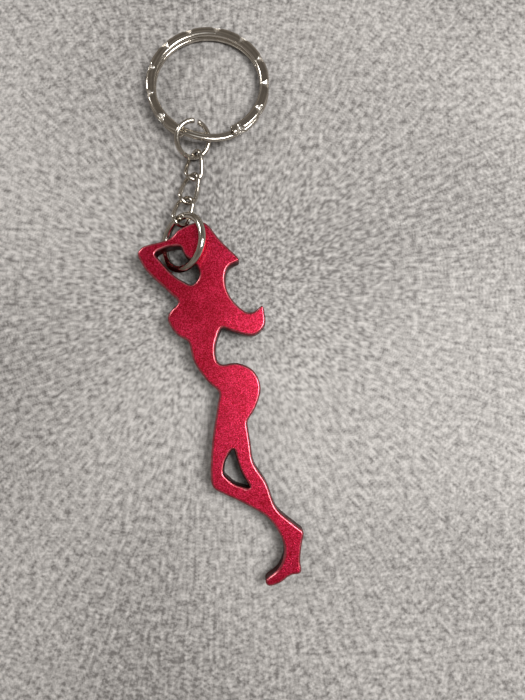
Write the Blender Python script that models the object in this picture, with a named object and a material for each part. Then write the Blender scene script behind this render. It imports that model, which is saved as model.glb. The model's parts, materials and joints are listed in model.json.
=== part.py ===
"""Keychain bottle opener: a flat figure-shaped opener, a jump ring through its arm, three
twisted chain links, a small open jump ring and a split key ring, lying on a flat surface.

Metres, +Z up. The opener is drawn upright in its own plane and then laid down. Each ring and
link hangs on the one before it. The keychain ends centred over the origin, its lowest point
at z = 0. Every moving piece has its origin on its hinge, with the hinge along its local X.
"""

import math

import bmesh
import bpy
from mathutils import Matrix, Vector

MM = 0.001
RIGHT = Vector((1, 0, 0))
AHEAD = Vector((0, 1, 0))
UP = Vector((0, 0, 1))

# ---- driving dimensions, in mm (angles in degrees) ----------------------------------------
FIGURE_HEIGHT = 71.0       # opener, toe to crown
PLATE_THICKNESS = 3.6
EDGE_ROUNDING = 0.35       # chamfer around both faces of the opener
ARM_RING_WIRE = 1.4        # jump ring through the arm
LINK_LENGTH = 7.05         # chain link, outside
LINK_WIRE = 0.85
LINK_TWIST = 78.0          # from one end of a link to the other
SMALL_RING_WIRE = 1.0      # open jump ring at the key ring
SMALL_RING_MOUTH = 18.0    # part of its turn left open
SMALL_RING_SPREAD = 0.5    # how far its ends stand apart along its axis
KEY_RING_DIAMETER = 25.0
KEY_RING_WIDTH = 1.9       # radial width of its flat wire
KEY_RING_LAYER = 1.1       # height of one turn
KEY_RING_CROSSING = 48.0   # smooth bar that climbs from one turn to the next

# ---- clearances, in mm --------------------------------------------------------------------
TOUCH_GAP = 0.3            # between pieces that rest on each other
LINK_PLAY = 0.25           # slack where one wire hooks another
LINK_SIDE_ROOM = 0.9       # across a link, around the arm ring's wire
TURN_GAP = 0.15            # between the two turns of the key ring
ARM_RING_ROOM = 0.65       # inside the arm ring, around the bridge that it encloses
SMALL_RING_ROOM = 1.75     # inside the small ring, around both turns of the key ring

# ---- sizes that follow, in mm -------------------------------------------------------------
LINK_WIDTH = ARM_RING_WIRE + 2 * LINK_WIRE + LINK_SIDE_ROOM
SMALL_RING_BORE = KEY_RING_WIDTH + 2 * KEY_RING_LAYER + TURN_GAP + SMALL_RING_ROOM

# ---- how the keychain lies, in degrees ----------------------------------------------------
FIGURE_LEAN = 9.5          # the figure's crown leans to the left
ARM_RING_TILT = 39.5       # right side up
ARM_RING_YAW = -3.3        # its far side is turned this far left of +Y
ARM_RING_PULL_AT = 17.7    # link 1 pulls at this far left of its far side
# heading from +Y towards +X, slope of the far end upwards, roll with the right side up
CHAIN = {
    "chain_link_1": (14.5, -11.8, -4.4),
    "chain_link_2": (14.2, -2.5, 8.5),
    "chain_link_3": (3.6, -7.2, 15.6),
}
SMALL_RING_LIES = (-8.2, 29.2, -24.6)
SMALL_RING_MOUTH_AT = 68.0  # middle of its mouth, from its right side
KEY_RING_HEADING = 14.7
KEY_RING_SLOPE = -4.4
KEY_RING_HELD_AT = 0.23    # where the key ring lies across the small ring's bore, 1 = far side
KEY_RING_BAR_AT = -75.0    # middle of its climbing bar, from its right side
ARM_RING_SEAM_AT = 75.0    # its closed seam, from its right side
ARM_RING_SEAM = 3.0        # and the sliver left open there

# ---- outline of the figure, in mm, upright, as drawn at this height ------------------------
DRAWN_HEIGHT = 71.0
DRAWN_THICKNESS = 3.6      # the arm hole is drawn for this plate
DRAWN_WIRE = 1.4           # and for this arm ring
ARM_RING_CENTRE = (-2.45, 24.77)
TOE = (3.0, -42.3)
BALL_OF_FOOT = (9.6, -41.3)
# Each list is one smooth stretch; stretches meet at corners.
OUTLINE = {
    "upper_arm": [(-11.5, 23.9), (-10.2, 25.0), (-6.7, 25.4), (-4.6, 25.8), (-3.1, 27.1)],
    "head_and_hair": [(-3.1, 27.1), (-0.6, 27.9), (1.0, 28.1), (2.5, 27.7), (4.8, 23.9), (7.9, 19.7)],
    "cap_mouth": [(7.9, 19.2), (5.5, 18.4), (4.5, 15.9), (5.1, 12.3), (8.2, 8.9), (10.9, 10.1)],
    "cap_hook": [(10.9, 10.1), (10.7, 6.2), (8.2, 4.5), (4.6, 5.8), (2.3, 7.1)],
    "back": [(2.3, 7.1), (0.6, 3.7), (0.5, 0.6), (1.4, -0.1)],
    "hip": [(1.4, -0.1), (4.2, -0.2), (7.0, -2.1), (7.9, -5.3), (6.6, -8.7), (4.2, -11.6)],
    "leg_back": [(4.2, -11.6), (4.2, -15.6), (4.2, -19.3), (5.95, -23.4), (7.1, -28.5),
                 (9.7, -31.7), (11.5, -33.6)],
    "sole": [(11.5, -33.6), (10.3, -37.0), (9.8, -39.2), (9.7, -41.0), (7.7, -41.1),
             (5.3, -42.2), (3.0, -42.3), (2.7, -41.2)],
    "shin": [(2.7, -41.2), (5.8, -39.3), (7.3, -35.8), (5.5, -30.4), (1.6, -26.9),
             (-2.9, -23.8), (-4.0, -22.9), (-4.3, -21.6), (-3.1, -15.0), (-1.1, -8.5),
             (0.0, -5.2)],
    "belly": [(0.0, -5.2), (-2.1, -2.5), (-3.9, 1.3), (-4.3, 5.4)],
    "chest": [(-4.3, 5.4), (-6.4, 7.2), (-7.6, 10.6), (-4.9, 13.2)],
    "forearm": [(-4.9, 13.2), (-7.0, 16.0), (-10.4, 20.6), (-11.5, 23.9)],
}
ARM_HOLE = {
    "upper_side": [(-8.2, 23.3), (-5.6, 24.1), (-2.9, 23.9)],
    "head_side": [(-2.9, 23.9), (-2.45, 22.0), (-1.2, 20.7), (-0.3, 19.1), (-0.2, 17.9),
                  (-0.7, 16.9), (-2.0, 16.0)],
    "forearm_side": [(-2.0, 16.0), (-5.0, 18.4), (-8.2, 23.3)],
}
LEG_HOLE = {
    "thigh_side": [(0.9, -16.0), (-1.0, -18.2), (-1.8, -20.5)],
    "shin_side": [(-1.8, -20.5), (0.1, -22.7), (2.9, -24.0)],
    "calf_side": [(2.9, -24.0), (1.6, -20.6), (0.9, -16.0)],
}
CORNER_SOFTENING = 0.45    # reach of the rounding at every drawn corner
OUTLINE_STEP = 0.25        # spacing while corners are rounded
STRAIGHTNESS = 0.012       # points that bend the outline less than this are dropped
SHORTEST_EDGE = 0.06       # and so are points closer together than this


# ---- small helpers ------------------------------------------------------------------------
def start_empty():
    for obj in list(bpy.data.objects):
        bpy.data.objects.remove(obj)


def material(name, colour, metallic, roughness):
    """A plain Principled material."""
    mat = bpy.data.materials.new(name)
    mat.use_nodes = True
    shader = mat.node_tree.nodes["Principled BSDF"]
    shader.inputs["Base Color"].default_value = (*colour, 1.0)
    shader.inputs["Metallic"].default_value = metallic
    shader.inputs["Roughness"].default_value = roughness
    return mat


def mesh_object(name, bm, place, mat):
    """An object whose bmesh is in world millimetres, with its origin and axes at place."""
    bmesh.ops.recalc_face_normals(bm, faces=bm.faces)
    local = place.inverted() @ Matrix.Scale(MM, 4)
    bmesh.ops.transform(bm, matrix=local, verts=bm.verts)
    mesh = bpy.data.meshes.new(name)
    bm.to_mesh(mesh)
    bm.free()
    mesh.materials.append(mat)
    obj = bpy.data.objects.new(name, mesh)
    bpy.context.collection.objects.link(obj)
    obj.matrix_world = place
    return obj


def axes_at(point_mm, x_axis, y_axis):
    """A placement in metres: origin at a point in mm, local X along x_axis."""
    x = x_axis.normalized()
    z = x.cross(y_axis).normalized()
    y = z.cross(x)
    place = Matrix((x, y, z)).transposed().to_4x4()
    place.translation = point_mm * MM
    return place


# ---- outlines -----------------------------------------------------------------------------
def smooth_stretch(knots, step):
    """Points along a Catmull-Rom curve through knots, without its last point."""
    pts = [Vector(k) for k in knots]
    pts = [2 * pts[0] - pts[1], *pts, 2 * pts[-1] - pts[-2]]
    out = []
    for a, b, c, d in zip(pts, pts[1:], pts[2:], pts[3:]):
        count = max(2, round((c - b).length / step))
        ends = [math.sqrt((q - p).length) for p, q in ((a, b), (b, c), (c, d))]
        out_slope = _tangent(a, b, c, ends[0], ends[1])
        in_slope = _tangent(b, c, d, ends[1], ends[2])
        for i in range(count):
            t = i / count
            out.append(_hermite(b, c, out_slope * ends[1], in_slope * ends[1], t))
    return out


def _tangent(a, b, c, before, after):
    return (b - a) / before - (c - a) / (before + after) + (c - b) / after


def _hermite(b, c, slope_b, slope_c, t):
    return (
        (2 * t**3 - 3 * t**2 + 1) * b
        + (t**3 - 2 * t**2 + t) * slope_b
        + (3 * t**2 - 2 * t**3) * c
        + (t**3 - t**2) * slope_c
    )


def even_loop(points, step):
    """The closed loop through points, at even spacing."""
    ring = [*points, points[0]]
    lengths = [(b - a).length for a, b in zip(ring, ring[1:])]
    count = round(sum(lengths) / step)
    out = []
    piece = 0
    start = 0.0
    for i in range(count):
        want = i * sum(lengths) / count
        while start + lengths[piece] < want:
            start += lengths[piece]
            piece += 1
        out.append(ring[piece].lerp(ring[piece + 1], (want - start) / lengths[piece]))
    return out


def soften(points, reach, step):
    """Round the corners of an evenly spaced loop: a running mean, over reach each way."""
    half = max(1, round(reach / step))
    count = len(points)
    out = []
    for i in range(count):
        near = [points[(i + k) % count] for k in range(-half, half + 1)]
        out.append(sum(near, Vector((0, 0))) / len(near))
    return out


def thin_out(points, bend, longest):
    """Drop points of a loop where it stays within bend of a straight line."""
    kept = [0]
    count = len(points)
    while kept[-1] < count:
        first = kept[-1]
        last = first + 1
        while last < count and last - first < longest:
            a = points[first]
            b = points[(last + 1) % count]
            across = (b - a).orthogonal().normalized()
            far = max(abs((points[k % count] - a).dot(across)) for k in range(first, last + 1))
            if far > bend:
                break
            last += 1
        kept.append(last)
    return [points[k] for k in kept if k < count]


def spread_out(points, shortest):
    """Drop points of a loop that are closer than shortest to the one kept before."""
    kept = [points[0]]
    for p in points[1:]:
        if min((p - kept[-1]).length, (p - points[0]).length) >= shortest:
            kept.append(p)
    return kept


def loop_of(stretches, scale):
    """A closed outline in mm from its smooth stretches, corners rounded."""
    raw = []
    for knots in stretches.values():
        raw += smooth_stretch([Vector(k) * scale for k in knots], OUTLINE_STEP)
    even = even_loop(raw, OUTLINE_STEP)
    soft = soften(even, CORNER_SOFTENING, OUTLINE_STEP)
    return spread_out(thin_out(soft, STRAIGHTNESS, 6), SHORTEST_EDGE)


def signed_area(points):
    return sum(a.cross(b) for a, b in zip(points, [*points[1:], points[0]])) / 2


def inset(points, depth):
    """The loop moved towards the solid, which lies on its left, by up to depth.

    At a tight outward corner it moves by less, so that the loop never folds over itself.
    """
    count = len(points)
    normals = []
    depths = []
    for i in range(count):
        before = points[i] - points[i - 1]
        after = points[(i + 1) % count] - points[i]
        turn = before.angle_signed(after, 0.0) * -1
        normals.append((before.normalized() + after.normalized()).orthogonal().normalized())
        radius = (before.length + after.length) / 2 / turn if turn > 1e-6 else math.inf
        depths.append(min(depth, 0.7 * radius))
    calm = [min(depths[(i + k) % count] for k in (-1, 0, 1)) for i in range(count)]
    calm = [(calm[i - 1] + calm[i] + calm[(i + 1) % count]) / 3 for i in range(count)]
    return [p + n * d for p, n, d in zip(points, normals, calm)]


def inside(point, loop):
    """Whether a point is inside a closed loop."""
    crossings = 0
    for a, b in zip(loop, [*loop[1:], loop[0]]):
        if (a.y > point.y) != (b.y > point.y):
            x = a.x + (point.y - a.y) / (b.y - a.y) * (b.x - a.x)
            crossings += x > point.x
    return crossings % 2 == 1


# ---- the opener ---------------------------------------------------------------------------
def slanting_way(wire, thickness):
    """Room that the arm ring's wire takes along the plate as it slants through."""
    return wire + thickness * math.sin(math.radians(ARM_RING_TILT))


def opener_loops():
    """The figure's outline anticlockwise and its holes clockwise, in drawing mm.

    The arm hole opens up for a thicker ring wire or a thicker plate.
    """
    scale = FIGURE_HEIGHT / DRAWN_HEIGHT
    loops = [loop_of(s, scale) for s in (OUTLINE, ARM_HOLE, LEG_HOLE)]
    for n, loop in enumerate(loops):
        if (signed_area(loop) > 0) != (n == 0):
            loop.reverse()
    needed = slanting_way(ARM_RING_WIRE, PLATE_THICKNESS)
    drawn = slanting_way(DRAWN_WIRE, DRAWN_THICKNESS)
    loops[1] = inset(loops[1], (needed - drawn) / 2)
    return loops


def opener_mesh(loops):
    """The plate between z = 0 and its thickness, chamfered round both faces."""
    bm = bmesh.new()
    levels = [
        (0.0, EDGE_ROUNDING),
        (EDGE_ROUNDING, 0.0),
        (PLATE_THICKNESS - EDGE_ROUNDING, 0.0),
        (PLATE_THICKNESS, EDGE_ROUNDING),
    ]
    rims = {0.0: [], PLATE_THICKNESS: []}
    for loop in loops:
        rings = []
        for z, depth in levels:
            flat = inset(loop, depth) if depth else loop
            rings.append([bm.verts.new((p.x, p.y, z)) for p in flat])
        for low, high in zip(rings, rings[1:]):
            bridge(bm, low, high)
        rims[0.0] += closed_edges(bm, rings[0])
        rims[PLATE_THICKNESS] += closed_edges(bm, rings[-1])
    for edges in rims.values():
        bmesh.ops.triangle_fill(bm, edges=edges, use_beauty=True)
    return bm


def bridge(bm, low, high):
    """Quads between two rings of as many vertices."""
    for i in range(len(low)):
        bm.faces.new((low[i - 1], low[i], high[i], high[i - 1]))


def closed_edges(bm, ring):
    return [bm.edges.get((ring[i - 1], ring[i])) for i in range(len(ring))]


def opener_placement():
    """Head raised on the arm ring's wire, foot on the surface, figure leaning left."""
    scale = FIGURE_HEIGHT / DRAWN_HEIGHT
    toe = Vector(TOE) * scale
    along_foot = (Vector(BALL_OF_FOOT) * scale - toe).normalized()
    up_the_figure = along_foot.orthogonal()
    rise = (Vector(ARM_RING_CENTRE) * scale - toe).dot(up_the_figure)
    pitch = math.asin((ARM_RING_WIRE + TOUCH_GAP) / rise)
    axis = Vector((*along_foot, 0))
    hinge = Matrix.Translation((*toe, 0))
    raised = hinge @ Matrix.Rotation(pitch, 4, axis) @ hinge.inverted()
    return Matrix.Rotation(math.radians(FIGURE_LEAN), 4, "Z") @ raised


# ---- wire rings and links -----------------------------------------------------------------
def frame_of(centre, heading, slope, roll):
    """Centre, right, ahead and up of a piece that lies along heading, in degrees."""
    turn = (
        Matrix.Rotation(-math.radians(heading), 3, "Z")
        @ Matrix.Rotation(math.radians(slope), 3, "X")
        @ Matrix.Rotation(-math.radians(roll), 3, "Y")
    )
    return Matrix.Translation(centre) @ turn.to_4x4()


def swept(path, normals, section, closed):
    """A solid swept along a path. section holds (outward, upward) offsets, and normals the
    piece's own upward direction at each point."""
    bm = bmesh.new()
    count = len(path)
    rings = []
    for i, point in enumerate(path):
        before = path[i - 1] if closed or i else point
        after = path[(i + 1) % count] if closed or i < count - 1 else point
        along = (after - before).normalized()
        outward = along.cross(normals[i]).normalized()
        upward = outward.cross(along)
        rings.append([bm.verts.new(point + outward * a + upward * b) for a, b in section])
    for low, high in zip(rings, rings[1:]):
        bridge(bm, low, high)
    if closed:
        bridge(bm, rings[-1], rings[0])
    else:
        bm.faces.new(rings[0])
        bm.faces.new(rings[-1])
    return bm


def round_section(diameter, sides):
    """A round wire's section, as wide as the wire across its flats and corners on average."""
    radius = diameter / 2
    turns = [2 * math.pi * (k + 0.5) / sides for k in range(sides)]
    return [(radius * math.cos(t), radius * math.sin(t)) for t in turns]


def circle_path(radius, start, turn, steps, rise=0.0):
    """Points and normals of an arc of a circle, climbing by rise, in its own frame."""
    path = []
    for i in range(steps):
        t = start + turn * i / (steps - 1)
        height = rise * (i / (steps - 1) - 0.5)
        path.append(Vector((radius * math.cos(t), radius * math.sin(t), height)))
    return path, [UP.copy() for _ in path]


def link_path(steps_bend, steps_leg):
    """Points and normals of a twisted oval link, long axis along Y."""
    bend = (LINK_WIDTH - LINK_WIRE) / 2
    leg = (LINK_LENGTH - LINK_WIRE) / 2 - bend
    flat = []
    for end in (1, -1):
        for i in range(steps_bend):
            t = math.pi * i / steps_bend
            flat.append(Vector((bend * math.cos(t) * end, (leg + bend * math.sin(t)) * end, 0)))
        for i in range(steps_leg):
            flat.append(Vector((-bend * end, leg * (1 - 2 * i / steps_leg) * end, 0)))
    path = []
    normals = []
    for p in flat:
        twist = Matrix.Rotation(link_twist_at(p.y), 3, "Y")
        path.append(twist @ p)
        normals.append(twist @ UP)
    return path, normals


def link_twist_at(y):
    """Twist of a link at a place along it: none at its middle."""
    return -math.radians(LINK_TWIST) * y / (LINK_LENGTH - LINK_WIRE)


def placed(path, normals, frame):
    turn = frame.to_3x3()
    return [frame @ p for p in path], [turn @ n for n in normals]


def hooked_frame(exit_point, exit_heading, spacing, half_length, lies):
    """Frame of a piece whose near end hooks the wire at exit_point, spacing away from it."""
    ahead = frame_of(Vector(), *lies).to_3x3() @ AHEAD
    pull = (exit_heading + ahead).normalized()
    near_end = exit_point - pull * spacing
    return frame_of(near_end + ahead * half_length, *lies)


def exit_of(frame, half_length):
    """The wire's far end of a piece, and the way it points."""
    return frame @ (AHEAD * half_length), frame.to_3x3() @ AHEAD


# ---- the jump ring through the arm --------------------------------------------------------
def bridge_reach(loops, placement, frame, step=0.1, furthest=9.0):
    """How far the part of the opener that the arm ring encloses reaches from its centre."""
    to_plate = placement.inverted()
    outline, arm_hole = loops[0], loops[1]
    reach = 0.0
    steps = round(furthest / step)
    for i in range(-steps, steps + 1):
        for way in (1, -1):
            for j in range(steps):
                local = Vector((i * step, way * j * step, 0))
                point = to_plate @ (frame @ local)
                flat = point.xy
                if not 0 <= point.z <= PLATE_THICKNESS:
                    break
                if inside(flat, arm_hole) or not inside(flat, outline):
                    break
                reach = max(reach, local.length)
    return reach


def arm_ring_frame(loops, placement):
    """The arm ring's frame and the radius of its wire's middle: it rests on the surface at
    its left, passes under the arm and over the head, and is as large as the bridge needs."""
    scale = FIGURE_HEIGHT / DRAWN_HEIGHT
    seat = placement @ Vector((*(Vector(ARM_RING_CENTRE) * scale), 0))
    rise = math.sin(math.radians(ARM_RING_TILT))
    radius = 5.3 * scale
    frame = frame_of(seat, -ARM_RING_YAW, 0, ARM_RING_TILT)
    for _ in range(3):
        frame.translation.z = ARM_RING_WIRE / 2 + radius * rise
        radius = bridge_reach(loops, placement, frame) + ARM_RING_ROOM + ARM_RING_WIRE / 2
    frame.translation.z = ARM_RING_WIRE / 2 + radius * rise
    return frame, radius


# ---- the split key ring -------------------------------------------------------------------
def key_ring_path(steps_per_turn=60):
    """Two flat turns and the bar that climbs from one to the other, from below, clockwise."""
    radius = (KEY_RING_DIAMETER - KEY_RING_WIDTH) / 2
    bar = math.radians(KEY_RING_CROSSING)
    full = 2 * math.pi
    end_gap = math.radians(1.5)
    total = 2 * full - bar - end_gap
    count = round(total / full * steps_per_turn)
    start = math.radians(KEY_RING_BAR_AT - KEY_RING_CROSSING / 2)
    path = []
    for i in range(count + 1):
        travelled = total * i / count
        angle = start - travelled
        height = bar_height((travelled - (full - bar)) / bar)
        path.append(Vector((radius * math.cos(angle), radius * math.sin(angle), height)))
    return path, [UP.copy() for _ in path]


def bar_height(share):
    """Height of the key ring's wire at a share of the way along its climbing bar."""
    t = min(1.0, max(0.0, share))
    return (KEY_RING_LAYER + TURN_GAP) * (t * t * (3 - 2 * t) - 0.5)


def flat_section():
    """The key ring wire's section: a flat bar with its corners taken off."""
    a, b = KEY_RING_WIDTH / 2, KEY_RING_LAYER / 2
    c = KEY_RING_LAYER / 4
    return [(a - c, -b), (a, c - b), (a, b - c), (a - c, b),
            (c - a, b), (-a, b - c), (-a, c - b), (c - a, -b)]


# ---- the assembly -------------------------------------------------------------------------
def build():
    start_empty()
    red = material("red_anodised_aluminium", (0.42, 0.012, 0.035), 1.0, 0.38)
    nickel = material("nickel_plated_steel", (0.62, 0.60, 0.56), 1.0, 0.22)

    # opener
    loops = opener_loops()
    placement = opener_placement()
    bm = opener_mesh(loops)
    bmesh.ops.transform(bm, matrix=placement, verts=bm.verts)
    origin = Matrix.Translation(placement.translation * MM)
    pieces = [mesh_object("opener_plate", bm, origin, red)]

    # jump ring through the arm; it swivels about the line of pull
    frame, radius = arm_ring_frame(loops, placement)
    pull = frame @ Matrix.Rotation(math.radians(ARM_RING_PULL_AT), 4, "Z")
    right, ahead = pull.to_3x3() @ RIGHT, pull.to_3x3() @ AHEAD
    seam = math.radians(ARM_RING_SEAM_AT)
    seam_half = math.radians(ARM_RING_SEAM) / 2
    path, normals = circle_path(radius, seam + seam_half, 2 * math.pi - 2 * seam_half, 49)
    bm = swept(*placed(path, normals, frame), round_section(ARM_RING_WIRE, 12), False)
    place = axes_at(frame.translation, ahead, right)
    pieces.append(mesh_object("arm_jump_ring", bm, place, nickel))
    exit_point, exit_heading = exit_of(pull, radius)
    exit_tangent, wire = right, ARM_RING_WIRE

    # chain links; each turns about the wire that it hooks
    half = (LINK_LENGTH - LINK_WIRE) / 2
    for name, lies in CHAIN.items():
        spacing = (wire + LINK_WIRE) / 2 + LINK_PLAY
        frame = hooked_frame(exit_point, exit_heading, spacing, half, lies)
        path, normals = placed(*link_path(12, 6), frame)
        bm = swept(path, normals, round_section(LINK_WIRE, 8), True)
        place = axes_at(exit_point, exit_tangent, frame.to_3x3() @ AHEAD)
        pieces.append(mesh_object(name, bm, place, nickel))
        exit_point, exit_heading = exit_of(frame, half)
        end_twist = Matrix.Rotation(link_twist_at(half), 3, "Y")
        exit_tangent, wire = frame.to_3x3() @ end_twist @ RIGHT, LINK_WIRE

    # small open jump ring
    radius = (SMALL_RING_BORE + SMALL_RING_WIRE) / 2
    spacing = (wire + SMALL_RING_WIRE) / 2 + LINK_PLAY
    frame = hooked_frame(exit_point, exit_heading, spacing, radius, SMALL_RING_LIES)
    mouth_half = math.radians(SMALL_RING_MOUTH) / 2
    start = math.radians(SMALL_RING_MOUTH_AT) + mouth_half
    path, normals = circle_path(
        radius, start, 2 * math.pi - 2 * mouth_half, 41, -SMALL_RING_SPREAD
    )
    bm = swept(*placed(path, normals, frame), round_section(SMALL_RING_WIRE, 10), False)
    place = axes_at(exit_point, exit_tangent, frame.to_3x3() @ AHEAD)
    pieces.append(mesh_object("small_jump_ring", bm, place, nickel))

    # split key ring; it flips about its own wire where the small ring holds it
    held = frame @ (AHEAD * KEY_RING_HELD_AT * SMALL_RING_BORE / 2)
    lies = (KEY_RING_HEADING, KEY_RING_SLOPE, 0)
    ahead = frame_of(Vector(), *lies).to_3x3() @ AHEAD
    centre = held + ahead * (KEY_RING_DIAMETER - KEY_RING_WIDTH) / 2
    frame = frame_of(centre, *lies)
    bm = swept(*placed(*key_ring_path(), frame), flat_section(), False)
    share = (KEY_RING_BAR_AT + KEY_RING_CROSSING / 2 + 90) / KEY_RING_CROSSING
    wire_middle = held + frame.to_3x3() @ UP * bar_height(share)
    place = axes_at(wire_middle, frame.to_3x3() @ RIGHT, ahead)
    pieces.append(mesh_object("split_key_ring", bm, place, nickel))

    stand_over_origin(pieces)


def stand_over_origin(pieces):
    """Parent all pieces to one empty and move it: keychain centred, lowest point at z = 0."""
    keychain = bpy.data.objects.new("keychain", None)
    bpy.context.collection.objects.link(keychain)
    corners = [p.matrix_world @ v.co for p in pieces for v in p.data.vertices]
    low = Vector([min(c[i] for c in corners) for i in range(3)])
    high = Vector([max(c[i] for c in corners) for i in range(3)])
    for piece in pieces:
        piece.parent = keychain
    keychain.location = (-(low.x + high.x) / 2, -(low.y + high.y) / 2, -low.z)


build()
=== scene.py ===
"""Looks of the keychain bottle opener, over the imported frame.

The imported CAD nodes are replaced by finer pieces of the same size: an opener with rounded
rims, round and twisted wires, and a crimped split ring. Lengths are in metres.
"""

import json
import math

import bmesh
import bpy
import numpy as np
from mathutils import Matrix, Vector


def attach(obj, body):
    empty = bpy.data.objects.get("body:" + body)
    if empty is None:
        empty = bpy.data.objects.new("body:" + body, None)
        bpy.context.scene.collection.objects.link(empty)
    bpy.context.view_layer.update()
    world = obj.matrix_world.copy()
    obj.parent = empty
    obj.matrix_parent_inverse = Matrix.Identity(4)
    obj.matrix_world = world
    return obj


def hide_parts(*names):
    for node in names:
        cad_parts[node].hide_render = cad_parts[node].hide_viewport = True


MM = 0.001
FULL_TURN = 2 * math.pi

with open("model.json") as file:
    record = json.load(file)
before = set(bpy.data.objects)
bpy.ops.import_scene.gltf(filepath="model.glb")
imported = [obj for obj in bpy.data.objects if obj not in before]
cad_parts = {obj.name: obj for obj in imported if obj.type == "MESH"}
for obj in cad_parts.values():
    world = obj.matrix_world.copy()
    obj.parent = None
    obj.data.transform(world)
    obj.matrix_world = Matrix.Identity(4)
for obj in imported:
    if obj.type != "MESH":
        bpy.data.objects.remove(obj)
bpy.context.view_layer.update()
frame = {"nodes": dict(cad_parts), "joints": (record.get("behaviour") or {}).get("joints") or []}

# ---- sizes that the wires keep from the design --------------------------------------------
LINK_LENGTH = 7.05 * MM
LINK_WIDTH = 4.0 * MM
LINK_WIRE = 0.85 * MM
LINK_TWIST = math.radians(78)
KEY_RING_DIAMETER = 25.0 * MM
KEY_RING_WIDTH = 1.9 * MM
KEY_RING_LAYER = 1.1 * MM
TURN_GAP = 0.15 * MM
KEY_RING_CROSSING = math.radians(48)
KEY_RING_BAR_AT = math.radians(-75)
KEY_RING_HEADING = math.radians(14.7)
KEY_RING_SLOPE = math.radians(-4.4)
KEY_RING_END_GAP = math.radians(1.5)
ARM_RING_WIRE = 1.4 * MM
SMALL_RING_WIRE = 1.0 * MM

# ---- reading the frame's meshes -----------------------------------------------------------
WELD = 0.002 * MM
LEVEL_SLACK = 0.04 * MM
CAD_WIRE_SIDES = 10

# ---- details that only the looks have -----------------------------------------------------
RIM_GROWTH = 1.3  # the rounded rim's size against the design's chamfer
RIM_STEP_DEGREES = 15
RIM_HIGHLIGHT_SHARE = 0.9  # share of the rim's width that gets the painted highlight
MIN_INSET = 0.05 * MM
OUTLINE_STEP = 0.2 * MM
SEAM_GAP = 0.07 * MM
CRIMPS_PER_TURN = 13
CRIMP_AT = math.radians(41.2)
CRIMP_HALF_LENGTH = 1.1 * MM
CRIMP_DEPTH = 0.42 * MM
CRIMP_PUSH = 0.55  # how far a crimp pushes the edge in, against its depth
CRIMP_REACH = 0.9  # how far it reaches past the wire's middle, against half the width
CRIMP_LEAST = 0.02
BAR_SMOOTH_BEFORE = 0.15  # radians of smooth wire before and after the climb, and of fade
BAR_SMOOTH_AFTER = 0.25
BAR_FADE = 0.1
BAR_NARROWING = 0.18
SECTION_POWER = 2.6
GROOVE_DEPTH = 0.10 * MM
GROOVE_HALF_WIDTH = 0.22 * MM
GROOVED_FROM = 0.6  # share of half the thickness above which the wire counts as its face

# ---- how finely the wires are drawn -------------------------------------------------------
ARM_RING_STEPS, ARM_RING_SIDES = 220, 36
LINK_BEND_STEPS, LINK_LEG_STEPS, LINK_SIDES = 40, 24, 24
LINK_SHIFT = 52  # steps by which the start of a link's unevenness is moved round it
SMALL_RING_STEPS, SMALL_RING_SIDES = 5, 30
KEY_RING_STEPS, KEY_RING_SIDES = 1100, 40

# ---- colours ------------------------------------------------------------------------------
RED_DARK = (0.46, 0.006, 0.027)
RED_LIGHT = (0.72, 0.013, 0.055)
# painted shade: a near-black red for the plate's side walls, which lie in shade
RED_WALL_SHADE = (0.12, 0.003, 0.010)
# painted highlight: a pale, nearly white red for the rounded rims
RED_RIM_HIGHLIGHT = (0.86, 0.34, 0.38)
RED_GLANCING = (0.22, 0.01, 0.03)
GRAIN_DULL = (0.72, 0.50, 0.52)  # factors on the red
GRAIN_LIT = (1.45, 3.4, 2.7)
NICKEL = (0.63, 0.59, 0.53)
NICKEL_DULLED = 0.55
# painted highlight: a paler nickel for the pressed crimps
NICKEL_CRIMP_HIGHLIGHT = (0.95, 0.92, 0.87)
NICKEL_GLANCING = (0.30, 0.24, 0.18)
FLOOR_DARK = (0.185, 0.176, 0.172)
FLOOR_PALE = (0.66, 0.645, 0.635)

# ---- the picture --------------------------------------------------------------------------
FLOOR_HALF = 0.6
CEILING_SIDE = (0.16, 0.0, 1.0)
ROOM_SIDEWAYS = (0.12, 0.10, 0.08)
ROOM_OVERHEAD = (1.05, 1.03, 1.01)
# towards the ceiling: where, how bright and how neutral (1) or warm (less) it is
ROOM_STOPS = (
    (0.40, 0.30, 0.82),
    (0.78, 0.13, 0.75),
    (0.93, 0.16, 0.80),
    (0.97, 0.40, 0.95),
    (0.985, 0.92, 0.98),
)
CAMERA_AT = (8.208 * MM, -20.343 * MM, 111.4 * MM)
CAMERA_LEAN = math.radians(4.8)
CAMERA_LENS = 28.8
CAMERA_SENSOR = 36


# ---- reading the frame --------------------------------------------------------------------
def welded(node):
    """A CAD node's distinct points and its triangles."""
    bm = bmesh.new()
    bm.from_mesh(frame["nodes"][node].data)
    bmesh.ops.remove_doubles(bm, verts=bm.verts, dist=WELD)
    bmesh.ops.triangulate(bm, faces=bm.faces)
    bm.verts.index_update()
    points = np.array([v.co for v in bm.verts], float)
    triangles = [tuple(v.index for v in f.verts) for f in bm.faces]
    bm.free()
    return points, triangles


def joint_place(name):
    """A joint's place at rest."""
    found = next(j for j in frame["joints"] if j["name"] == name)
    return np.array(found["pos_m"], float)


def in_plane(points, origin, x_axis, y_axis):
    """Points' coordinates along two axes."""
    return np.stack([(points - origin) @ x_axis, (points - origin) @ y_axis], -1)


def ring_plane(points):
    """Centre and in-plane axes of a ring of points, and its normal on the upper side."""
    middle = points.mean(0)
    axes = np.linalg.svd(points - middle)[2]
    normal = axes[2] if axes[2][2] > 0 else -axes[2]
    x_axis = axes[0]
    y_axis = np.cross(normal, x_axis)
    flat = in_plane(points, middle, x_axis, y_axis)
    terms = np.column_stack([2 * flat, np.ones(len(flat))])
    solved = np.linalg.lstsq(terms, (flat**2).sum(1), rcond=None)[0]
    return middle + solved[0] * x_axis + solved[1] * y_axis, x_axis, y_axis, normal


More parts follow.
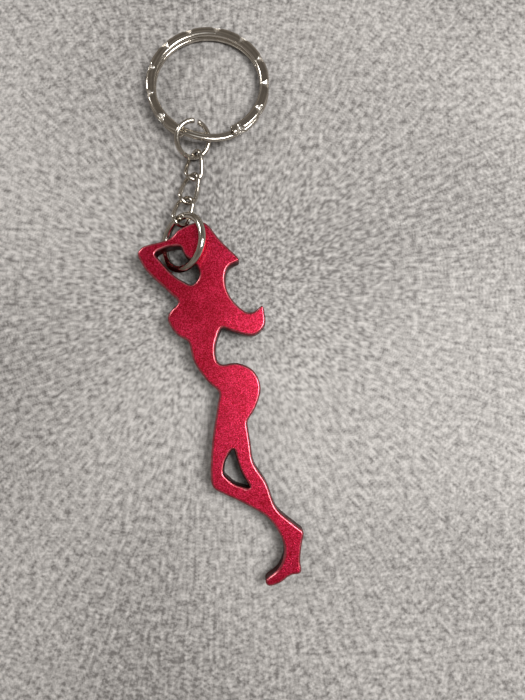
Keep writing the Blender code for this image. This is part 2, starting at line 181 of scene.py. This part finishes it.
def round_the_ring(flat):
    """The order of a cut ring's points from its cut round to it, and the cut's angle."""
    angles = np.arctan2(flat[:, 1], flat[:, 0])
    order = np.argsort(angles)
    spaces = np.diff(angles[order], append=angles[order[0]] + FULL_TURN)
    widest = spaces.argmax()
    return np.roll(order, -(widest + 1)), angles[order[widest]] + spaces[widest] / 2


# ---- curves -------------------------------------------------------------------------------
def unit(v):
    return v / np.linalg.norm(v, axis=-1, keepdims=True)


def distances(path):
    """How far along a path each of its points is."""
    return np.concatenate([[0], np.cumsum(np.linalg.norm(np.diff(path, axis=0), axis=1))])


def smooth_curve(values, steps):
    """An open Catmull-Rom curve, in this many steps between each value and the next."""
    before = 2 * values[0] - values[1]
    after = 2 * values[-1] - values[-2]
    padded = np.vstack([before, values, after])
    out = []
    for a, b, c, d in zip(padded, padded[1:], padded[2:], padded[3:]):
        for k in range(steps):
            t = k / steps
            out.append(
                0.5 * (2 * b + (c - a) * t + (2 * a - 5 * b + 4 * c - d) * t**2
                       + (3 * b - 3 * c + d - a) * t**3)
            )
    return np.array([*out, values[-1]])


def hermite_loop(values, gaps, counts):
    """A closed curve through values whose spacing is uneven: gaps are the lengths between."""
    n = len(values)
    slopes = []
    for i in range(n):
        g0, g1 = gaps[i - 1], gaps[i]
        v0 = (values[i] - values[i - 1]) / g0
        v1 = (values[(i + 1) % n] - values[i]) / g1
        slopes.append((v0 * g1 + v1 * g0) / (g0 + g1))
    out = []
    for i in range(n):
        b, c, g = values[i], values[(i + 1) % n], gaps[i]
        sb, sc = slopes[i] * g, slopes[(i + 1) % n] * g
        for k in range(counts[i]):
            t = k / counts[i]
            out.append((2 * t**3 - 3 * t**2 + 1) * b + (t**3 - 2 * t**2 + t) * sb
                       + (3 * t**2 - 2 * t**3) * c + (t**3 - t**2) * sc)
    return np.array(out)


# ---- pieces from meshes -------------------------------------------------------------------
def placed(name, bm, material):
    """A new object in the scene, made from a bmesh."""
    mesh = bpy.data.meshes.new(name)
    bm.to_mesh(mesh)
    bm.free()
    mesh.materials.append(material)
    piece = bpy.data.objects.new(name, mesh)
    bpy.context.scene.collection.objects.link(piece)
    return piece


# ---- swept wires --------------------------------------------------------------------------
def wire_directions(path, ups, closed):
    """Outward and upward directions at each point of a path."""
    if closed:
        along = np.roll(path, -1, 0) - np.roll(path, 1, 0)
    else:
        along = np.gradient(path, axis=0)
    along = unit(along)
    outward = unit(np.cross(along, ups))
    return outward, np.cross(outward, along)


def swept(name, material, path, ups, sections, closed=False, pressed=None):
    """A wire along path. sections[i] holds (outward, upward) offsets at its i-th point.

    pressed, if given, says how deep each point of each section was pressed in, from 0 to 1.
    """
    outward, upward = wire_directions(path, ups, closed)
    n, m = sections.shape[:2]
    co = (
        path[:, None]
        + sections[:, :, :1] * outward[:, None]
        + sections[:, :, 1:] * upward[:, None]
    )
    along = distances(np.append(path, path[:1], axis=0))
    bm = bmesh.new()
    mark = bm.verts.layers.float.new("pressed")
    uv = bm.loops.layers.uv.new("UVMap")
    rings = [[bm.verts.new(p) for p in ring] for ring in co]
    if pressed is not None:
        for ring, marks in zip(rings, pressed):
            for vert, value in zip(ring, marks):
                vert[mark] = value
    for i in range(n if closed else n - 1):
        low, high = rings[i], rings[(i + 1) % n]
        for k in range(m):
            j = (k + 1) % m
            face = bm.faces.new((low[k], low[j], high[j], high[k]))
            face.smooth = True
            corners = ((i, k), (i, k + 1), (i + 1, k + 1), (i + 1, k))
            for loop, (a, b) in zip(face.loops, corners):
                loop[uv].uv = (along[a] / MM, b / m)
    if not closed:
        for ring in (rings[0], rings[-1]):
            bm.faces.new(ring).smooth = False
    bmesh.ops.recalc_face_normals(bm, faces=bm.faces)
    return placed(name, bm, material)


def round_sections(count, wire, sides):
    """The same round section at each point of a path."""
    t = FULL_TURN * np.arange(sides) / sides
    ring = np.stack([np.cos(t), np.sin(t)], 1) * wire / 2
    return np.repeat(ring[None], count, 0)


def ended(path, sections, reach, shrink):
    """Ends of an open wire, filed round: they shrink over reach."""
    along = distances(path)
    near = np.minimum(along, along[-1] - along)
    t = np.clip(near / reach, 0, 1)
    scale = 1 - shrink * (1 - np.sqrt(1 - (1 - t) ** 2))
    return sections * scale[:, None, None]


def uneven(path, sections, amount, period, phase):
    """A hand-closed wire's slight thickness changes along its length, in two waves."""
    along = distances(path)
    turn = FULL_TURN * along / along[-1]
    waves = round(along[-1] / period)
    change = np.sin(waves * turn + phase)
    change += 0.6 * np.sin((waves * 2 + 1) * turn + 2.1 * phase)
    return sections * (1 + amount * change)[:, None, None]


# ---- materials ----------------------------------------------------------------------------
class Nodes:
    """A material's node tree, with short ways to add and join its nodes."""

    def __init__(self, name):
        self.material = bpy.data.materials.new(name)
        self.material.use_nodes = True
        self.tree = self.material.node_tree
        self.shader = self.tree.nodes["Principled BSDF"]

    def feed(self, socket, value):
        """Give a socket another node's output, a colour, a vector or a number."""
        if isinstance(value, bpy.types.NodeSocket):
            self.tree.links.new(value, socket)
        elif socket.type == "RGBA":
            socket.default_value = (*value, 1.0)
        else:
            socket.default_value = value

    def shade(self, **inputs):
        """Feed the shader's inputs, named with _ for spaces."""
        for name, value in inputs.items():
            self.feed(self.shader.inputs[name.replace("_", " ")], value)

    def add(self, kind, inputs, **settings):
        node = self.tree.nodes.new(kind)
        for key, value in settings.items():
            setattr(node, key, value)
        for key, value in inputs.items():
            self.feed(node.inputs[key], value)
        return node

    def coordinates(self, scale=(1, 1, 1), output="Object"):
        place = self.add("ShaderNodeTexCoord", {}).outputs[output]
        mapping = self.add("ShaderNodeMapping", {"Vector": place, "Scale": scale})
        return mapping.outputs["Vector"]

    def attribute(self, name):
        return self.add("ShaderNodeAttribute", {}, attribute_name=name).outputs["Fac"]

    def noise(self, vector, scale, detail, roughness):
        inputs = {"Vector": vector, "Scale": scale, "Detail": detail, "Roughness": roughness}
        return self.add("ShaderNodeTexNoise", inputs).outputs["Fac"]

    def cells(self, vector, scale):
        """A random number for each small cell."""
        node = self.add("ShaderNodeTexVoronoi", {"Vector": vector, "Scale": scale})
        split = self.add("ShaderNodeSeparateColor", {"Color": node.outputs["Color"]})
        return split.outputs["Red"]

    def remap(self, value, source, target, smooth=False):
        """A value moved from one range to another, and held at its ends."""
        inputs = {
            "Value": value,
            "From Min": source[0],
            "From Max": source[1],
            "To Min": target[0],
            "To Max": target[1],
        }
        easing = "SMOOTHSTEP" if smooth else "LINEAR"
        node = self.add("ShaderNodeMapRange", inputs, interpolation_type=easing)
        return node.outputs["Result"]

    def math(self, operation, a, b):
        node = self.add("ShaderNodeMath", {0: a, 1: b}, operation=operation)
        return node.outputs["Value"]

    def blend(self, factor, a, b, kind="MIX"):
        inputs = {0: factor, 6: a, 7: b}
        return self.add("ShaderNodeMix", inputs, data_type="RGBA", blend_type=kind).outputs[2]

    def bump(self, height, strength, distance):
        inputs = {"Height": height, "Strength": strength, "Distance": distance}
        return self.add("ShaderNodeBump", inputs).outputs["Normal"]


def red_anodising():
    """Satin red anodised aluminium: a fine bright grain, softly blotched, with painted shade on
    its side walls and a painted highlight along its rims.
    """
    k = Nodes("red_anodised_aluminium")
    place = k.coordinates()
    blotches = k.noise(place, scale=110, detail=3, roughness=0.6)
    soft = k.remap(blotches, (0.36, 0.64), (0, 1), smooth=True)
    grain = k.cells(place, scale=6200)
    fine = k.noise(place, scale=3400, detail=2, roughness=0.6)
    # noise that breaks up the painted rim highlight
    highlight_breakup = k.noise(place, scale=700, detail=4, roughness=0.7)

    deep = k.blend(soft, RED_DARK, RED_LIGHT)
    lit = k.blend(k.remap(grain, (0.3, 1.0), (0, 1)), GRAIN_DULL, GRAIN_LIT)
    colour = k.blend(1.0, deep, lit, "MULTIPLY")
    # painted shade: the side walls darkened in the colour, the more so the more they face
    # sideways
    colour = k.blend(k.math("MULTIPLY", k.attribute("wall"), 0.9), colour, RED_WALL_SHADE)
    # painted highlight along the rounded rims, broken up by noise
    rim_highlight = k.math("MULTIPLY", k.attribute("rim"), k.remap(highlight_breakup, (0.40, 0.70), (0.25, 0.7)))
    colour = k.blend(rim_highlight, colour, RED_RIM_HIGHLIGHT)

    fine_gloss = k.remap(fine, (0.3, 0.7), (0.25, 0.35))
    rough = k.math("ADD", fine_gloss, k.remap(soft, (0, 1), (0.05, 0)))
    height = k.math("ADD", k.math("MULTIPLY", grain, 0.6), fine)
    k.shade(
        Base_Color=colour,
        Metallic=1.0,
        Specular_Tint=RED_GLANCING,
        Roughness=rough,
        Coat_Weight=0.3,
        Coat_Roughness=0.10,
        Normal=k.bump(height, strength=0.35, distance=0.02 * MM),
    )
    return k.material


def nickel():
    """Bright nickel plating over drawn wire: fine lengthwise lines, dulled in places, with a
    painted highlight on the crimps.
    """
    k = Nodes("nickel_plated_steel")
    place = k.coordinates()
    drawn = k.coordinates(scale=(0.35, 26, 1), output="UV")
    lines = k.noise(drawn, scale=3, detail=3, roughness=0.6)
    dull = k.noise(place, scale=420, detail=4, roughness=0.6)
    nicks = k.noise(place, scale=2400, detail=2, roughness=0.5)

    dulled = tuple(c * NICKEL_DULLED for c in NICKEL)
    dull_patches = k.remap(dull, (0.45, 0.75), (0, 0.55), smooth=True)
    # painted highlight on the pressed crimps: a paler colour and a rougher surface
    crimp_highlight = k.remap(k.attribute("pressed"), (0.05, 0.5), (0, 1))
    colour = k.blend(crimp_highlight, k.blend(dull_patches, NICKEL, dulled), NICKEL_CRIMP_HIGHLIGHT)

    dull_gloss = k.remap(dull, (0.35, 0.75), (0.07, 0.18))
    rough = k.math("ADD", dull_gloss, k.remap(lines, (0.4, 0.7), (0, 0.06)))
    rough = k.math("ADD", rough, k.math("MULTIPLY", crimp_highlight, 0.22))
    height = k.math("ADD", k.math("MULTIPLY", lines, 0.6), k.math("MULTIPLY", nicks, 0.6))
    k.shade(
        Base_Color=colour,
        Metallic=1.0,
        Specular_Tint=NICKEL_GLANCING,
        Roughness=rough,
        Normal=k.bump(height, strength=0.22, distance=0.03 * MM),
    )
    return k.material


def pale_floor():
    """A plain floor with a soft grain."""
    k = Nodes("pale_floor")
    place = k.coordinates()
    coarse = k.noise(place, scale=760, detail=3, roughness=0.6)
    fine = k.noise(place, scale=1500, detail=2, roughness=0.5)
    wide = k.noise(place, scale=17, detail=1, roughness=0.5)
    mixed = k.math("ADD", k.math("MULTIPLY", coarse, 0.6), k.math("MULTIPLY", fine, 0.4))
    mixed = k.math("ADD", mixed, k.remap(wide, (0.3, 0.7), (-0.05, 0.05)))
    colour = k.blend(k.remap(mixed, (0.37, 0.63), (0, 1)), FLOOR_DARK, FLOOR_PALE)
    k.shade(Base_Color=colour, Roughness=0.55)
    return k.material


# ---- the opener ---------------------------------------------------------------------------
def closed_loops(edges):
    """Closed loops of point numbers from the edges between them, the longest first."""
    beside = {}
    for a, b in edges:
        beside.setdefault(a, []).append(b)
        beside.setdefault(b, []).append(a)
    loops = []
    free = set(beside)
    while free:
        loop = []
        ahead = [min(free)]
        while ahead:
            loop.append(ahead[0])
            free.discard(ahead[0])
            ahead = [p for p in beside[loop[-1]] if p in free]
        loops.append(loop)
    return sorted(loops, key=len, reverse=True)


def nearest_on_loop(points, loop):
    """For each point, the nearest place on a closed loop."""
    start = loop[None]
    run = (np.roll(loop, -1, 0) - loop)[None]
    share = ((points[:, None] - start) * run).sum(2) / (run**2).sum(2)
    near = start + np.clip(share, 0, 1)[..., None] * run
    best = np.linalg.norm(near - points[:, None], axis=2).argmin(1)
    return near[np.arange(len(points)), best]


def plate_loops():
    """The plate's origin and axes, its thickness and chamfer, and its loops.

    A loop is the points of a wall, and from each of them the way in to the flat face's edge.
    """
    points, triangles = welded("opener_plate")
    corners = points[np.array(triangles)]
    cross = np.cross(corners[:, 1] - corners[:, 0], corners[:, 2] - corners[:, 0])
    area = np.linalg.norm(cross, axis=1)
    up = cross[area.argmax()] / area.max()
    up = up if up[2] > 0 else -up
    height = points @ up
    height -= height.min()
    thick = height.max()
    chamfer = np.median(height[(height > LEVEL_SLACK) & (height < thick / 2)])
    on_wall = np.abs(height - chamfer) < LEVEL_SLACK
    on_face = height < LEVEL_SLACK

    faces_at = {}
    for t in triangles:
        for a, b in zip(t, t[1:] + t[:1]):
            faces_at.setdefault((min(a, b), max(a, b)), []).append(t)
    wall_edges = [e for e in faces_at if on_wall[list(e)].all()]
    face_edges = [
        e for e, ts in faces_at.items()
        if on_face[list(e)].all() and sum(on_face[list(t)].all() for t in ts) == 1
    ]

    origin = points[height.argmin()]
    x_axis = unit(np.cross(np.array([0.0, 1.0, 0.0]), up))
    y_axis = np.cross(up, x_axis)
    flat = in_plane(points, origin, x_axis, y_axis)
    insets = [flat[face] for face in closed_loops(face_edges)]
    loops = []
    for loop in closed_loops(wall_edges):
        wall = flat[loop]
        ways_in = [nearest_on_loop(wall, inset) - wall for inset in insets]
        loops.append((wall, min(ways_in, key=lambda w: np.linalg.norm(w, axis=1).max())))
    return origin, x_axis, y_axis, up, thick, chamfer, loops


def rim_levels(thick, over):
    """Levels round both rims, from the bottom up.

    Each is its height, its share of the way in, and how far its normal points up and out.
    """
    turns = np.radians(range(0, 91, RIM_STEP_DEGREES))
    levels = []
    for side, where in ((-1, turns[::-1]), (1, turns)):
        for t in where:
            sunk = over * (1 - math.sin(t))
            height = sunk if side < 0 else thick - sunk
            way_in = RIM_GROWTH * (1 - math.cos(t))
            levels.append((height, way_in, side * math.sin(t), math.cos(t)))
    return levels


def opener(material):
    """The figure-shaped plate, its rims rounded over and its faces flat."""
    origin, x_axis, y_axis, up, thick, chamfer, loops = plate_loops()
    over = chamfer * RIM_GROWTH
    levels = rim_levels(thick, over)
    bm = bmesh.new()
    rim = bm.verts.layers.float.new("rim")
    painted_wall_shade = bm.verts.layers.float.new("wall")
    normals = []
    caps = {0: [], len(levels) - 1: []}
    for wall, inset in loops:
        gaps = np.linalg.norm(np.roll(wall, -1, 0) - wall, axis=1)
        counts = np.maximum(1, np.round(gaps / OUTLINE_STEP).astype(int))
        fine = hermite_loop(wall, gaps, counts)
        depth = hermite_loop(inset, gaps, counts)
        along = unit(np.roll(fine, -1, 0) - np.roll(fine, 1, 0))
        side = np.stack([along[:, 1], -along[:, 0]], 1)
        side = -side * np.sign((side * depth).sum())
        outward = side[:, :1] * x_axis + side[:, 1:] * y_axis
        reach = np.maximum(np.linalg.norm(depth, axis=1), MIN_INSET)
        rings = []
        for height, way_in, tilt, out in levels:
            flat = fine + depth * way_in
            co = origin + flat[:, :1] * x_axis + flat[:, 1:] * y_axis + height * up
            ring = [bm.verts.new(p) for p in co]
            for v in ring:
                # mark for the painted highlight on the rounded part of the rim
                v[rim] = float(0 < way_in < RIM_HIGHLIGHT_SHARE * RIM_GROWTH)
                # painted shade mark: stronger the more a point of the wall faces sideways
                v[painted_wall_shade] = out**2
            normals += list(unit(outward * out * over + tilt * reach[:, None] * up))
            rings.append(ring)
        for low, high in zip(rings, rings[1:]):
            for i in range(len(low)):
                bm.faces.new((low[i - 1], low[i], high[i], high[i - 1])).smooth = True
        for level in caps:
            ring = rings[level]
            caps[level] += [bm.edges.get((ring[i - 1], ring[i])) for i in range(len(ring))]
    for edges in caps.values():
        made = bmesh.ops.triangle_fill(bm, edges=edges, use_beauty=True)
        for item in made["geom"]:
            if isinstance(item, bmesh.types.BMFace):
                item.smooth = True
    bm.verts.index_update()
    bmesh.ops.recalc_face_normals(bm, faces=bm.faces)
    piece = placed("opener_body", bm, material)
    piece.data.normals_split_custom_set_from_vertices([tuple(n) for n in normals])
    return piece


# ---- rings and links ----------------------------------------------------------------------
def arm_ring(material):
    """Jump ring of thick wire, closed with a butt seam."""
    points, _ = welded("arm_jump_ring")
    centre, x_axis, y_axis, normal = ring_plane(points)
    flat = in_plane(points, centre, x_axis, y_axis)
    reach = np.linalg.norm(flat, axis=1)
    radius = (reach.min() + reach.max()) / 2
    _, seam = round_the_ring(flat)
    half = SEAM_GAP / 2 / radius
    t = np.linspace(seam + half, seam + FULL_TURN - half, ARM_RING_STEPS)
    path = centre + radius * (np.cos(t)[:, None] * x_axis + np.sin(t)[:, None] * y_axis)
    sections = round_sections(len(path), ARM_RING_WIRE, ARM_RING_SIDES)
    sections = ended(path, sections, reach=0.16 * MM, shrink=0.12)
    sections = uneven(path, sections, amount=0.004, period=5.0 * MM, phase=1.0)
    return swept("arm_ring_wire", material, path, normal[None], sections)


def link(node, name, material):
    """A twisted oval chain link, drawn without its seam."""
    points, _ = welded(node)
    middle = points.mean(0)
    ahead, right = np.linalg.svd(points - middle)[2][:2]
    up = np.cross(right, ahead)
    bend = (LINK_WIDTH - LINK_WIRE) / 2
    leg = (LINK_LENGTH - LINK_WIRE) / 2 - bend
    flat = []
    for end in (1, -1):
        for i in range(LINK_BEND_STEPS):
            t = math.pi * i / LINK_BEND_STEPS
            flat.append((bend * math.cos(t) * end, (leg + bend * math.sin(t)) * end))
        for i in range(LINK_LEG_STEPS):
            flat.append((-bend * end, leg * (1 - 2 * i / LINK_LEG_STEPS) * end))
    flat = np.roll(np.array(flat), LINK_SHIFT, 0)
    turn = -LINK_TWIST * flat[:, 1] / (LINK_LENGTH - LINK_WIRE)
    across = np.cos(turn)[:, None] * right - np.sin(turn)[:, None] * up
    ups = np.sin(turn)[:, None] * right + np.cos(turn)[:, None] * up
    path = middle + flat[:, :1] * across + flat[:, 1:] * ahead
    sections = round_sections(len(path), LINK_WIRE, LINK_SIDES)
    sections = uneven(path, sections, amount=0.012, period=3.4 * MM, phase=2.0)
    return swept(name, material, path, ups, sections, closed=True)


def small_ring(material):
    """Small jump ring that was left open, its cut ends pinched by the pliers."""
    points, _ = welded("small_jump_ring")
    centre, x_axis, y_axis, normal = ring_plane(points)
    order, _ = round_the_ring(in_plane(points, centre, x_axis, y_axis))
    middles = points[order].reshape(-1, CAD_WIRE_SIDES, 3).mean(1)
    path = smooth_curve(middles, SMALL_RING_STEPS)
    sections = round_sections(len(path), SMALL_RING_WIRE, SMALL_RING_SIDES)
    sections = ended(path, sections, reach=0.22 * MM, shrink=0.22)
    sections = uneven(path, sections, amount=0.008, period=4.0 * MM, phase=3.0)
    return swept("small_ring_wire", material, path, normal[None], sections)


def bar_height(share):
    """Height of the key ring's wire at a share of the way along its climbing bar."""
    t = np.clip(share, 0, 1)
    return (KEY_RING_LAYER + TURN_GAP) * (t * t * (3 - 2 * t) - 0.5)


def flat_wire():
    """Offsets round the key ring's wire: a rounded oblong, grooved along both faces."""
    turn = FULL_TURN * (np.arange(KEY_RING_SIDES) + 0.5) / KEY_RING_SIDES
    power = 2 / SECTION_POWER
    half_layer = KEY_RING_LAYER / 2
    wide = KEY_RING_WIDTH / 2 * np.sign(np.cos(turn)) * np.abs(np.cos(turn)) ** power
    high = half_layer * np.sign(np.sin(turn)) * np.abs(np.sin(turn)) ** power
    groove = GROOVE_DEPTH * np.exp(-((wide / GROOVE_HALF_WIDTH) ** 2))
    return wide, high - np.sign(high) * groove * (np.abs(high) > GROOVED_FROM * half_layer)


def key_ring(material):
    """Split ring: two crimped turns of flat wire and the smooth bar between them."""
    hinge = joint_place("key_ring_flip")
    level = math.cos(KEY_RING_SLOPE)
    east, north = math.sin(KEY_RING_HEADING), math.cos(KEY_RING_HEADING)
    ahead = np.array([level * east, level * north, math.sin(KEY_RING_SLOPE)])
    right = np.array([north, -east, 0.0])
    up = np.cross(right, ahead)
    radius = (KEY_RING_DIAMETER - KEY_RING_WIDTH) / 2
    bar_start = KEY_RING_BAR_AT + KEY_RING_CROSSING / 2
    hinge_share = (bar_start + math.pi / 2) / KEY_RING_CROSSING
    centre = hinge - bar_height(hinge_share) * up + ahead * radius

    # the first turn, the climb at its end, and the second turn
    climb_at = FULL_TURN - KEY_RING_CROSSING
    travelled = np.linspace(0, climb_at + FULL_TURN - KEY_RING_END_GAP, KEY_RING_STEPS)
    height = bar_height((travelled - climb_at) / KEY_RING_CROSSING)
    angle = KEY_RING_BAR_AT - KEY_RING_CROSSING / 2 - travelled
    path = (
        centre
        + radius * (np.cos(angle)[:, None] * right + np.sin(angle)[:, None] * ahead)
        + height[:, None] * up
    )

    # crimps, deepest on the outer edge, and none near the climbing bar
    wide, high = flat_wire()
    step = FULL_TURN / CRIMPS_PER_TURN
    off = np.abs((angle - CRIMP_AT + step / 2) % step - step / 2)
    outer = (wide / (KEY_RING_WIDTH / 2) + CRIMP_REACH) / (1 + CRIMP_REACH)
    outer = np.clip(outer, CRIMP_LEAST, 1)
    press = np.clip(1 - off[:, None] * radius / CRIMP_HALF_LENGTH / outer, 0, 1)
    into_bar = travelled - climb_at + BAR_SMOOTH_BEFORE
    out_of_bar = FULL_TURN - travelled + BAR_SMOOTH_AFTER
    bar = np.clip(np.minimum(into_bar, out_of_bar) / BAR_FADE, 0, 1)[:, None]
    pressed = press * (1 - bar) * outer
    deep = pressed * CRIMP_DEPTH

    # the path runs clockwise, so its sections are mirrored to face outwards
    across = -(wide - deep * CRIMP_PUSH) * (1 - BAR_NARROWING * bar)
    sections = np.stack([across, high - np.sign(high) * deep], 2)
    sections = ended(path, sections, reach=0.12 * MM, shrink=0.15)
    return swept("key_ring_wire", material, path, up[None], sections, pressed=pressed)


# ---- the picture --------------------------------------------------------------------------
def floor():
    bm = bmesh.new()
    bmesh.ops.create_grid(bm, x_segments=4, y_segments=4, size=FLOOR_HALF)
    placed("floor", bm, pale_floor())


def soft_light(name, place, size, power, colour):
    """A rectangular light aimed at the middle of the floor."""
    light = bpy.data.lights.new(name, "AREA")
    light.shape = "RECTANGLE"
    light.size, light.size_y = size
    light.energy = power
    light.color = colour
    lamp = bpy.data.objects.new(name, light)
    lamp.location = place
    aim = Vector() - Vector(place)
    lamp.rotation_euler = aim.to_track_quat("-Z", "Y").to_euler()
    bpy.context.scene.collection.objects.link(lamp)


def room():
    """A dim warm room with a soft bright patch of ceiling overhead."""
    world = bpy.data.worlds.new("room")
    world.use_nodes = True
    tree = world.node_tree
    back = tree.nodes["Background"]
    place = tree.nodes.new("ShaderNodeTexCoord")
    towards = tree.nodes.new("ShaderNodeVectorMath")
    towards.operation = "DOT_PRODUCT"
    towards.inputs[1].default_value = Vector(CEILING_SIDE).normalized()
    ramp = tree.nodes.new("ShaderNodeValToRGB")
    tree.links.new(place.outputs["Generated"], towards.inputs[0])
    tree.links.new(towards.outputs["Value"], ramp.inputs["Fac"])
    tree.links.new(ramp.outputs["Color"], back.inputs["Color"])
    stops = ramp.color_ramp.elements
    stops[0].position, stops[0].color = 0.0, (*ROOM_SIDEWAYS, 1)
    stops[1].position, stops[1].color = 1.0, (*ROOM_OVERHEAD, 1)
    for at, level, warmth in ROOM_STOPS:
        stops.new(at).color = (level, level * (1 + warmth) / 2, level * warmth, 1)
    back.inputs["Strength"].default_value = 1.0
    bpy.context.scene.world = world


def camera():
    data = bpy.data.cameras.new("camera")
    data.lens = CAMERA_LENS
    data.sensor_width = CAMERA_SENSOR
    data.clip_start = 0.005
    data.clip_end = 5
    eye = bpy.data.objects.new("camera", data)
    eye.location = CAMERA_AT
    eye.rotation_euler = (CAMERA_LEAN, 0, 0)
    bpy.context.scene.collection.objects.link(eye)
    bpy.context.scene.camera = eye


def build():
    red = red_anodising()
    bright = nickel()
    pieces = [
        (opener(red), "opener_plate", "red_anodised_aluminium"),
        (arm_ring(bright), "arm_jump_ring", "nickel_plated_steel"),
        (link("chain_link_1", "link_1_wire", bright), "chain_link_1", "nickel_plated_steel"),
        (link("chain_link_2", "link_2_wire", bright), "chain_link_2", "nickel_plated_steel"),
        (link("chain_link_3", "link_3_wire", bright), "chain_link_3", "nickel_plated_steel"),
        (small_ring(bright), "small_jump_ring", "nickel_plated_steel"),
        (key_ring(bright), "split_key_ring", "nickel_plated_steel"),
    ]
    for piece, node, slot in pieces:
        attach(piece, node)
        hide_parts(node)
    floor()
    room()
    soft_light("key", place=(0.21, 0.0, 0.36), size=(0.17, 0.20), power=1.38,
               colour=(1.0, 0.98, 0.95))
    soft_light("fill", place=(-0.30, 0.24, 0.22), size=(0.10, 0.10), power=0.45,
               colour=(1.0, 0.98, 0.96))
    camera()


build()
bpy.context.scene.cycles.caustics_reflective = False
bpy.context.scene.view_settings.view_transform = "Standard"
